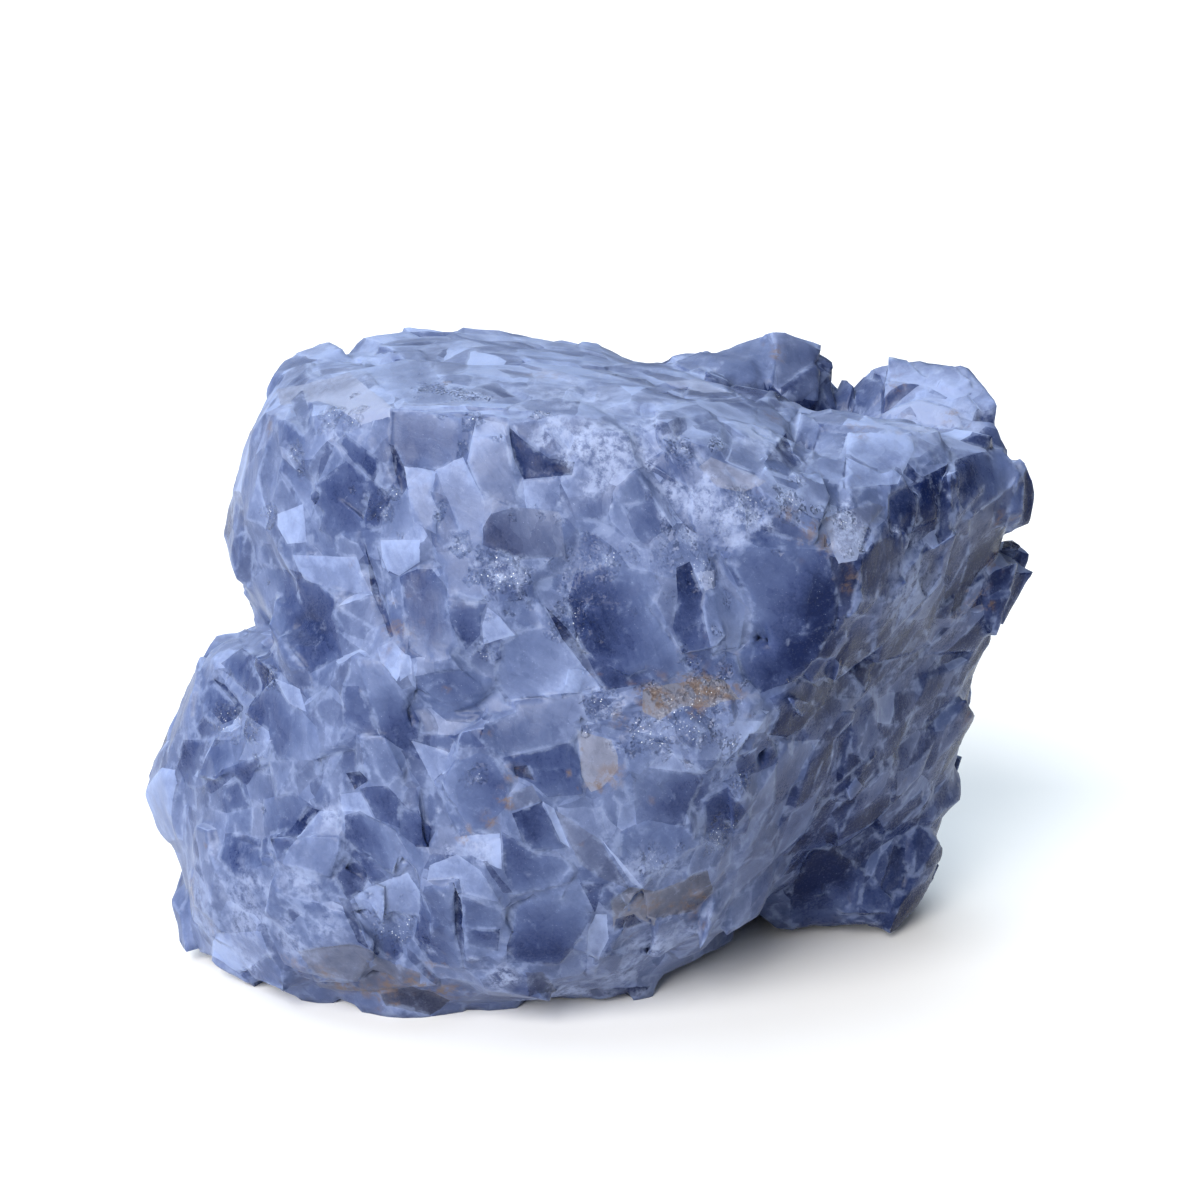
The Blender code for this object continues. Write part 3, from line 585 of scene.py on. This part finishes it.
def waves(points, span, rng, count=24):
    """A smooth random field between about -1 and 1."""
    total = np.zeros(len(points))
    for _ in range(count):
        direction = unit(rng.normal(size=3)) / span * rng.uniform(0.5, 1.6)
        total += np.sin(points @ direction * 2 * math.pi + rng.uniform(0, 2 * math.pi))
    return total / math.sqrt(count / 2) / 2


def gathered(places, values, count):
    """The sum of the rows of values that go to each place."""
    return np.stack([np.bincount(places, weights=column, minlength=count) for column in values.T], axis=1)


def neighbours_mean(points, edges):
    count = len(points)
    places = edges.T.ravel()
    ends = np.bincount(places, minlength=count)
    return gathered(places, points[edges[:, ::-1].T.ravel()], count) / ends[:, None]


def outward_of(points, faces):
    a, b, c = (points[faces[:, k]] for k in range(3))
    normals = np.cross(b - a, c - a)
    total = np.zeros_like(points)
    for k in range(3):
        np.add.at(total, faces[:, k], normals)
    return unit(total)


def soften(points, faces, edges):
    """Fills the grooves between crystals and wears their ridges, most of all at the front."""
    smooth = points.copy()
    for _ in range(SOFT_ROUNDS):
        smooth += (neighbours_mean(smooth, edges) - smooth) * SOFT_STEP
    outward = outward_of(smooth, faces)
    front = np.clip(0.5 - 1.5 * outward[:, 1] + 0.5 * outward[:, 2], 0, 1)
    front *= 1 - 0.2 * np.clip((smooth[:, 0] - FLANK_START) / (15 * MM), 0, 1)
    move = (smooth - points) * (SOFT_BACK + (SOFT_FRONT - SOFT_BACK) * front)[:, None]
    length = np.maximum(np.linalg.norm(move, axis=1), 1e-9)
    return points + move * (np.tanh(length / MOST_SHIFT) * MOST_SHIFT / length)[:, None]


def soften_mesh(bm):
    bm.verts.index_update()
    points = np.array([vert.co for vert in bm.verts])
    faces = np.array([[vert.index for vert in face.verts] for face in bm.faces])
    edges = np.array([[vert.index for vert in edge.verts] for edge in bm.edges])
    low, high = points.min(axis=0), points.max(axis=0)
    base = points[:, 2] < low[2] + FLOOR_SKIN
    moved = np.clip(soften(points, faces, edges), low, high)
    moved[base, 2] = low[2]
    for vert, place in zip(bm.verts, moved):
        vert.co = place
    bm.normal_update()


def wear(points, faces, edges, chips, rng):
    """Flattens, raises and tips the chips, rounds their edges and adds slight waves."""
    low, high = points.min(axis=0), points.max(axis=0)
    base = points[:, 2] < low[2] + FLOOR_SKIN
    middles, normals, _ = chip_frames(points, faces, chips)
    count = len(middles)
    rise = rng.normal(0, CHIP_RISE, count)
    # Crack patches, whose near-black tone is painted shade, are sunk
    for number, (tone, *_) in enumerate(PATCHES):
        if tone < SHADED_SLOT_TONE:
            rise[number] = -SLOT_SINK
    tilt = rng.normal(0, CHIP_TILT, (count, 3)) - normals * CHIP_FLAT
    shift = np.zeros_like(points)
    shares = np.zeros(len(points))
    for k in range(3):
        verts = faces[:, k]
        lift = rise[chips] + ((points[verts] - middles[chips]) * tilt[chips]).sum(axis=1)
        lift = np.clip(lift, -MOST_LIFT, MOST_LIFT)
        np.add.at(shift, verts, normals[chips] * lift[:, None])
        np.add.at(shares, verts, 1)
    moved = points + shift / shares[:, None]
    for _ in range(WEAR_ROUNDS):
        moved += (neighbours_mean(moved, edges) - moved) * WEAR
    moved += outward_of(moved, faces) * (waves(points, WAVE_SPAN, rng) * WAVE)[:, None]
    moved = np.clip(moved, low, high)
    moved[base, 2] = low[2]
    return moved


def blurred(values, faces, edges, rounds):
    """A smooth value at each point from the values at the corners of the faces."""
    count = faces.max() + 1
    ends = np.bincount(faces.ravel(), minlength=count)
    total = np.bincount(faces.ravel(), weights=values, minlength=count) / ends
    total = total[:, None]
    for _ in range(rounds):
        total = (total + neighbours_mean(total, edges)) / 2
    return total[:, 0]


def gap_to_border(points, faces, chips):
    """How far each point is from the borders between chips, in millimetres."""
    first = np.full(len(points), -1)
    border = np.zeros(len(points), bool)
    for k in range(3):
        verts = faces[:, k]
        order = np.argsort(verts, kind="stable")
        first[verts[order[::-1]]] = chips[order[::-1]]
    for k in range(3):
        border[faces[:, k][first[faces[:, k]] != chips]] = True
    near = np.flatnonzero(border)
    tree = kdtree.KDTree(len(near))
    for place, vert in enumerate(near):
        tree.insert(points[vert], place)
    tree.balance()
    gap = np.array([0.0 if border[i] else tree.find(points[i])[2] for i in range(len(points))])
    return np.minimum(gap / MM, GAP_REACH)


def spots(points, tree, places, spread, rng, reach):
    """How strongly marked places, and some spread over the rest of the stone, cover each point."""
    found = np.zeros(len(points))
    centres = []
    for across, down, size, strength in places:
        hit = tree.ray_cast(EYE, sight_line(across, down))[0]
        if hit is not None:
            centres.append((np.array(hit), size * PIXEL, strength))
    for _ in range(spread):
        point = points[rng.integers(len(points))]
        centres.append((point, rng.uniform(*reach) * MM, rng.uniform(0.3, 0.8)))
    uneven = 1 + 0.45 * waves(points, 3.2 * MM, rng) + 0.3 * waves(points, 1.3 * MM, rng)
    for centre, size, strength in centres:
        closeness = np.clip(1 - np.linalg.norm(points - centre, axis=1) / size * uneven, 0, 1)
        found = np.maximum(found, strength * np.minimum(closeness * 1.6, 1))
    return found


def give(mesh, name, kind, domain, values):
    made = mesh.attributes.new(name, kind, domain)
    key = "vector" if kind == "FLOAT_VECTOR" else "value"
    made.data.foreach_set(key, np.ascontiguousarray(values, dtype=np.float32).ravel())


class Tree:
    """A short way to write a material's nodes."""

    def __init__(self, name):
        self.material = bpy.data.materials.new(name)
        self.material.use_nodes = True
        self.nodes = self.material.node_tree.nodes
        self.links = self.material.node_tree.links
        self.shader = self.nodes["Principled BSDF"]

    def add(self, kind, inputs=None, **settings):
        node = self.nodes.new(kind)
        for name, value in settings.items():
            setattr(node, name, value)
        for name, value in (inputs or {}).items():
            self.put(node.inputs[name], value)
        return node

    def put(self, socket, value):
        if isinstance(value, bpy.types.NodeSocket):
            self.links.new(value, socket)
        else:
            socket.default_value = value

    def math(self, operation, a, b=0.0, c=0.0, clamp=False):
        node = self.add("ShaderNodeMath", {0: a, 1: b, 2: c}, operation=operation, use_clamp=clamp)
        return node.outputs[0]

    def vector(self, operation, a, b=(0.0, 0.0, 0.0)):
        node = self.add("ShaderNodeVectorMath", {0: a, 1: b}, operation=operation)
        return node.outputs["Value" if operation == "DOT_PRODUCT" else "Vector"]

    def scaled(self, a, factor):
        return self.add("ShaderNodeVectorMath", {0: a, "Scale": factor}, operation="SCALE").outputs[0]

    def spread(self, value, low, high, to_low=0.0, to_high=1.0, smooth=False):
        node = self.add("ShaderNodeMapRange", {0: value, 1: low, 2: high, 3: to_low, 4: to_high})
        node.interpolation_type = "SMOOTHSTEP" if smooth else "LINEAR"
        return node.outputs[0]

    def noise(self, vector, scale, detail=2.0, rough=0.5, color=False):
        inputs = {"Vector": vector, "Scale": scale, "Detail": detail, "Roughness": rough}
        node = self.add("ShaderNodeTexNoise", inputs)
        return node.outputs["Color" if color else "Fac"]

    def cells(self, vector, scale, feature="F1"):
        return self.add("ShaderNodeTexVoronoi", {"Vector": vector, "Scale": scale}, feature=feature)

    def mix(self, factor, a, b):
        node = self.add("ShaderNodeMix", {0: factor, 6: a, 7: b}, data_type="RGBA")
        return node.outputs[2]

    def attribute(self, name, output="Fac"):
        return self.add("ShaderNodeAttribute", attribute_name=name).outputs[output]

    def ramp(self, value, stops):
        node = self.add("ShaderNodeValToRGB", {0: value})
        ramp = node.color_ramp
        while len(ramp.elements) < len(stops):
            ramp.elements.new(0.5)
        for element, (place, color) in zip(ramp.elements, stops):
            element.position = place
            element.color = (*color, 1.0)
        return node.outputs[0]


TONES = [
    (0.0, (0.004, 0.010, 0.050)),
    (0.25, (0.030, 0.046, 0.125)),
    (0.5, (0.066, 0.093, 0.200)),
    (0.75, (0.116, 0.153, 0.288)),
    (1.0, (0.215, 0.275, 0.468)),
]
WARM_TONES = [
    (0.0, (0.012, 0.015, 0.032)),
    (0.5, (0.070, 0.074, 0.105)),
    (1.0, (0.190, 0.190, 0.235)),
]
WHITE_RIM = (0.23, 0.285, 0.45, 1.0)
FROST = (0.29, 0.345, 0.52, 1.0)
RUST = (0.13, 0.085, 0.06, 1.0)
# Near-white colour of the painted glint highlights
PAINTED_GLINT_COLOR = (0.75, 0.80, 0.90, 1.0)


def calcite():
    tree = Tree("blue_calcite_cleavage")
    place = tree.add("ShaderNodeTexCoord").outputs["Object"]
    place = tree.scaled(place, 1 / MM)
    tone = tree.attribute("tone")
    mist = tree.attribute("mist")
    gap = tree.attribute("gap")
    warm = tree.attribute("warm")
    frost = tree.attribute("frost")
    stain = tree.attribute("stain")
    glint = tree.attribute("glint")
    grain = tree.attribute("grain", "Vector")

    bend = tree.scaled(tree.vector("SUBTRACT", tree.noise(place, 0.35, 2, color=True), (0.5,) * 3), 2.2)
    bent = tree.vector("ADD", place, bend)
    lean = tree.add("ShaderNodeMapping", {"Vector": bent}, vector_type="TEXTURE")
    lean.inputs["Rotation"].default_value = (0.0, math.radians(-21), 0.0)
    lean.inputs["Scale"].default_value = (1.0, 1.0, 1.6)
    bent = lean.outputs[0]

    large = tree.cells(bent, 0.16)
    small = tree.cells(bent, 0.42)
    large_tone = tree.vector("DOT_PRODUCT", large.outputs["Color"], (0.34, 0.33, 0.33))
    small_tone = tree.vector("DOT_PRODUCT", small.outputs["Color"], (0.34, 0.33, 0.33))
    large_edge = tree.cells(bent, 0.16, "DISTANCE_TO_EDGE").outputs["Distance"]
    small_edge = tree.cells(bent, 0.42, "DISTANCE_TO_EDGE").outputs["Distance"]

    veil = tree.noise(place, 0.09, 4, 0.6)
    haze = tree.noise(place, 0.5, 5, 0.65)
    fine = tree.noise(place, 2.6, 4, 0.7)

    # Fine parallel lines along the cleavage, each chip with its own direction
    lines = tree.vector("DOT_PRODUCT", bent, grain)
    lines = tree.add("ShaderNodeCombineXYZ", {"X": lines})
    drift = tree.scaled(place, 0.06)
    lines = tree.vector("ADD", lines.outputs[0], drift)
    strips = tree.noise(lines, 1.5, 3, 0.6)

    # The tone: clear and deep within a chip, milkier towards its border
    crisp = tree.spread(tree.noise(place, 0.11, 2), 0.38, 0.55, 0.6, 1.0, smooth=True)
    total = tree.math("MULTIPLY_ADD", tree.math("SUBTRACT", tone, mist), crisp, mist)
    total = tree.math("MULTIPLY_ADD", tree.math("SUBTRACT", large_tone, 0.5), 0.12, total)
    total = tree.math("MULTIPLY_ADD", tree.math("SUBTRACT", small_tone, 0.5), 0.12, total)
    total = tree.math("MULTIPLY_ADD", tree.math("SUBTRACT", veil, 0.5), 0.40, total)
    total = tree.math("MULTIPLY_ADD", tree.math("SUBTRACT", haze, 0.5), 0.24, total)
    total = tree.math("MULTIPLY_ADD", tree.math("SUBTRACT", strips, 0.5), 0.16, total)
    total = tree.math("MULTIPLY_ADD", tree.math("SUBTRACT", fine, 0.5), 0.12, total)
    milk = tree.math("MULTIPLY", tree.spread(gap, 0.0, 2.6, 1.0, 0.0, smooth=True), haze)
    total = tree.math("MULTIPLY_ADD", milk, 0.22, total)
    color = tree.ramp(total, TONES)
    color = tree.mix(tree.math("MULTIPLY", warm, 0.85), color, tree.ramp(total, WARM_TONES))

    # Whitish lines round the chips, broken up, and weaker ones round the cells within them
    broken = tree.spread(tree.noise(place, 0.4, 3, 0.6), 0.44, 0.62, smooth=True)
    ragged = tree.math("MULTIPLY_ADD", tree.math("SUBTRACT", fine, 0.5), 0.9, gap)
    edge_line = tree.spread(ragged, 0.12, 0.55, 1.0, 0.0, smooth=True)
    edge_line = tree.math("MULTIPLY", edge_line, broken)
    vein = tree.spread(large_edge, 0.0, 0.06, 1.0, 0.0, smooth=True)
    vein = tree.math("MULTIPLY", vein, tree.spread(haze, 0.48, 0.7, smooth=True))
    thin = tree.spread(small_edge, 0.0, 0.05, 1.0, 0.0, smooth=True)
    thin = tree.math("MULTIPLY", thin, tree.spread(fine, 0.5, 0.75))
    lines_total = tree.math("MAXIMUM", tree.math("MULTIPLY", edge_line, 0.4), tree.math("MULTIPLY", vein, 0.22))
    lines_total = tree.math("MAXIMUM", lines_total, tree.math("MULTIPLY", thin, 0.12))
    color = tree.mix(lines_total, color, WHITE_RIM)

    # Frosty crust, rusty stains, pale specks, and painted highlights: near-white sparks in the colour where the
    # stone glints
    crust = tree.spread(tree.noise(place, 0.8, 5, 0.75), 0.36, 0.6, smooth=True)
    crust = tree.math("MULTIPLY", frost, crust)
    color = tree.mix(tree.math("MULTIPLY", crust, 0.9), color, FROST)
    soil = tree.spread(tree.noise(place, 0.8, 4, 0.7), 0.42, 0.6, smooth=True)
    soil = tree.math("MULTIPLY", stain, soil)
    color = tree.mix(tree.math("MULTIPLY", soil, 0.75), color, RUST)
    specks = tree.cells(place, 2.2).outputs["Distance"]
    specks = tree.spread(specks, 0.1, 0.2, 1.0, 0.0, smooth=True)
    specks = tree.math("MULTIPLY", specks, tree.spread(haze, 0.5, 0.66))
    color = tree.mix(tree.math("MULTIPLY", specks, 0.35), color, FROST)
    # Painted highlight: tiny near-white dots in the base colour stand in for glints of light
    painted_glint = tree.spread(tree.cells(place, 2.4).outputs["Distance"], 0.16, 0.26, 1.0, 0.0, smooth=True)
    painted_glint = tree.math("MULTIPLY", painted_glint, tree.spread(fine, 0.5, 0.58))
    painted_glint = tree.math("MULTIPLY", painted_glint, tree.spread(glint, 0.25, 0.6))
    color = tree.mix(painted_glint, color, PAINTED_GLINT_COLOR)
    tree.put(tree.shader.inputs["Base Color"], color)

    rough = tree.spread(total, 0.1, 0.9, 0.26, 0.46)
    rough = tree.math("MULTIPLY_ADD", crust, 0.35, rough)
    rough = tree.math("MULTIPLY_ADD", tree.math("SUBTRACT", fine, 0.5), 0.25, rough)
    rough = tree.math("MULTIPLY_ADD", glint, -0.15, rough)
    rough = tree.math("MAXIMUM", rough, 0.08)
    tree.put(tree.shader.inputs["Roughness"], rough)

    # Relief: small facets with their own lean, cleavage lines, grain
    local = tree.vector("SUBTRACT", tree.scaled(bent, 0.42), small.outputs["Position"])
    lean_small = tree.vector("DOT_PRODUCT", local, tree.vector("SUBTRACT", small.outputs["Color"], (0.5,) * 3))
    height = tree.math("MULTIPLY", lean_small, 0.22)
    height = tree.math("MULTIPLY_ADD", small_tone, 0.06, height)
    height = tree.math("MULTIPLY_ADD", strips, 0.16, height)
    height = tree.math("MULTIPLY_ADD", fine, 0.12, height)
    height = tree.math("MULTIPLY_ADD", haze, 0.12, height)
    height = tree.math("MULTIPLY_ADD", crust, 0.25, height)
    grit = tree.cells(place, 3.2)
    grit_local = tree.vector("SUBTRACT", tree.scaled(place, 3.2), grit.outputs["Position"])
    grit_lean = tree.vector("SUBTRACT", grit.outputs["Color"], (0.5,) * 3)
    grit_height = tree.vector("DOT_PRODUCT", grit_local, grit_lean)
    height = tree.math("MULTIPLY_ADD", tree.math("MULTIPLY", glint, grit_height), 0.2, height)
    bump = tree.add("ShaderNodeBump", {"Height": height, "Strength": 0.55, "Distance": 0.45 * MM})
    tree.put(tree.shader.inputs["Normal"], bump.outputs[0])
    tree.shader.inputs["IOR"].default_value = 1.55
    tree.put(tree.shader.inputs["Specular IOR Level"], tree.spread(total, 0.1, 0.8, 0.08, 0.25))
    tree.shader.inputs["Subsurface Weight"].default_value = 0.3
    tree.shader.inputs["Subsurface Radius"].default_value = (0.55, 0.7, 1.0)
    tree.shader.inputs["Subsurface Scale"].default_value = 1.8 * MM
    return tree.material


def make_stone():
    rng = np.random.default_rng(SEED)
    bm = stone_from(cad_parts[NODE])
    bm.normal_update()
    facet = bm.faces.layers.int.new("facet")
    chip = bm.faces.layers.int.new("chip")
    mark_facets(bm, facet)
    split_chips(bm, facet, chip, rng)
    only_triangles(bm)
    bm.edges.index_update()
    refine(bm)
    soften_mesh(bm)
    trace_patches(bm, chip)
    only_triangles(bm)
    tree = BVHTree.FromBMesh(bm)
    mesh = bpy.data.meshes.new("calcite_stone")
    bm.to_mesh(mesh)
    bm.free()
    points, faces, edges, chips = rows(mesh)
    middles, normals, grain = chip_frames(points, faces, chips)
    moved = wear(points, faces, edges, chips, rng)
    mesh.vertices.foreach_set("co", moved.ravel())

    count = len(middles)
    tops = np.clip((normals[:, 2] - 0.35) / 0.4, 0, 1)
    flanks = np.clip((middles[:, 0] - FLANK_START) / (12 * MM), 0, 1) * (1 - tops)
    front = (normals[:, 1] < -0.3) & (flanks < 0.5)
    spread = np.where(front, TONE_SPREAD_FRONT, TONE_SPREAD_BACK)
    tones = TONE_MEAN + rng.normal(0, 1, count) * spread
    warmth = np.clip(rng.normal(0.04, 0.07, count), 0.0, 0.3)
    for number, (value, warm, *_) in enumerate(PATCHES):
        lifted = DEEP_LIMIT + (value - DEEP_LIMIT) * DEEP_SHARE
        # Crack patches keep their near-black tone, painted shade in the crack; other deep patches are lifted
        tones[number] = lifted if SHADED_SLOT_TONE < value < DEEP_LIMIT else value
        warmth[number] = warm
    # Painted light and shade: upward faces painted paler, the right flank painted darker and less warm, as light
    # and shade would fall on them
    tones = np.clip(tones + TOP_PAINTED_LIGHT * tops - FLANK_PAINTED_SHADE * flanks, 0.0, 1.0)
    warmth *= 1 - FLANK_SHADE_COOLING * flanks
    slope = rng.normal(0, TONE_DRIFT, (count, 3))
    corner_chips = np.repeat(chips, 3)
    corners = faces.ravel()
    drift = ((points[corners] - middles[corner_chips]) * slope[corner_chips]).sum(axis=1)
    tone = tones[corner_chips] + np.clip(drift, -MOST_DRIFT, MOST_DRIFT)
    turned = unit(np.cross(normals, grain) + rng.normal(0, 0.35, (count, 3)))
    give(mesh, "tone", "FLOAT", "CORNER", tone)
    give(mesh, "mist", "FLOAT", "POINT", blurred(tone, faces, edges, BLUR_ROUNDS))
    give(mesh, "warm", "FLOAT", "FACE", warmth[chips])
    give(mesh, "grain", "FLOAT_VECTOR", "FACE", turned[chips])
    give(mesh, "gap", "FLOAT", "POINT", gap_to_border(points, faces, chips))
    give(mesh, "frost", "FLOAT", "POINT", spots(points, tree, FROST_PLACES, SPREAD_FROST, rng, (3, 8)))
    give(mesh, "stain", "FLOAT", "POINT", spots(points, tree, STAIN_PLACES, SPREAD_STAIN, rng, (1.5, 4)))
    give(mesh, "glint", "FLOAT", "POINT", spots(points, tree, GLINT_PLACES, SPREAD_GLINT, rng, (1.5, 4)))
    mesh.polygons.foreach_set("use_smooth", np.ones(len(faces), bool))
    mesh.materials.append(calcite())
    mesh.update()
    stone = bpy.data.objects.new("calcite_stone", mesh)
    bpy.context.scene.collection.objects.link(stone)
    print("stone", len(points), "points", len(faces), "triangles", count, "chips")
    return stone


def make_floor():
    half = 6.0
    mesh = bpy.data.meshes.new("studio_floor")
    corners = [(-half, -half, 0), (half, -half, 0), (half, half, 0), (-half, half, 0)]
    mesh.from_pydata(corners, [], [(0, 1, 2, 3)])
    tree = Tree("studio_white")
    place = tree.add("ShaderNodeTexCoord").outputs["Object"]
    grey = tree.spread(tree.noise(place, 40.0, 3), 0.0, 1.0, 0.86, 0.9)
    color = tree.add("ShaderNodeCombineColor", {0: grey, 1: grey, 2: grey})
    tree.put(tree.shader.inputs["Base Color"], color.outputs[0])
    tree.shader.inputs["Roughness"].default_value = 0.9
    mesh.materials.append(tree.material)
    floor = bpy.data.objects.new("studio_floor", mesh)
    bpy.context.scene.collection.objects.link(floor)


def add_light(name, kind, place, energy, size=None, angle=None, color=(1.0, 1.0, 1.0)):
    light = bpy.data.lights.new(name, kind)
    light.energy = energy
    light.color = color
    if kind == "AREA":
        light.shape = "DISK"
        light.size = size
    if kind == "SUN":
        light.angle = math.radians(angle)
    made = bpy.data.objects.new(name, light)
    made.location = place
    made.rotation_mode = "QUATERNION"
    made.rotation_quaternion = (Vector((0, 0, 0.04)) - Vector(place)).to_track_quat("-Z", "Y")
    bpy.context.scene.collection.objects.link(made)


def make_camera():
    camera = bpy.data.cameras.new("view")
    camera.lens = LENS
    camera.sensor_width = SENSOR
    camera.clip_start = 0.01
    camera.clip_end = 50.0
    made = bpy.data.objects.new("view", camera)
    made.location = EYE
    made.rotation_euler = (math.radians(90) - PITCH, 0.0, 0.0)
    bpy.context.scene.collection.objects.link(made)
    bpy.context.scene.camera = made


def make_world():
    world = bpy.data.worlds.new("studio")
    world.use_nodes = True
    world.node_tree.nodes["Background"].inputs["Color"].default_value = (0.86, 0.93, 1.0, 1.0)
    world.node_tree.nodes["Background"].inputs["Strength"].default_value = 0.24
    bpy.context.scene.world = world


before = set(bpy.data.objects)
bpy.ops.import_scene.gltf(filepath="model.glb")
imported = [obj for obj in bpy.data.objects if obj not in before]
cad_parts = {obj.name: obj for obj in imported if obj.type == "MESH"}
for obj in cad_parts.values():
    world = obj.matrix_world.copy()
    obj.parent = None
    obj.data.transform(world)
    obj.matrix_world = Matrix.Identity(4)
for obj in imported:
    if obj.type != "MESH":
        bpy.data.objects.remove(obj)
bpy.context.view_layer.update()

make_camera()
make_world()
make_floor()
add_light("key", "SUN", (-0.6, -1.0, 0.8), 4.9, angle=45, color=(1.0, 0.98, 0.95))
add_light("sky", "SUN", (-0.4, 0.5, 1.1), 2.5, angle=80, color=(0.80, 0.91, 1.0))
bpy.context.scene.view_settings.view_transform = "Standard"

stone = make_stone()
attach(stone, "root")
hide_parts(NODE)
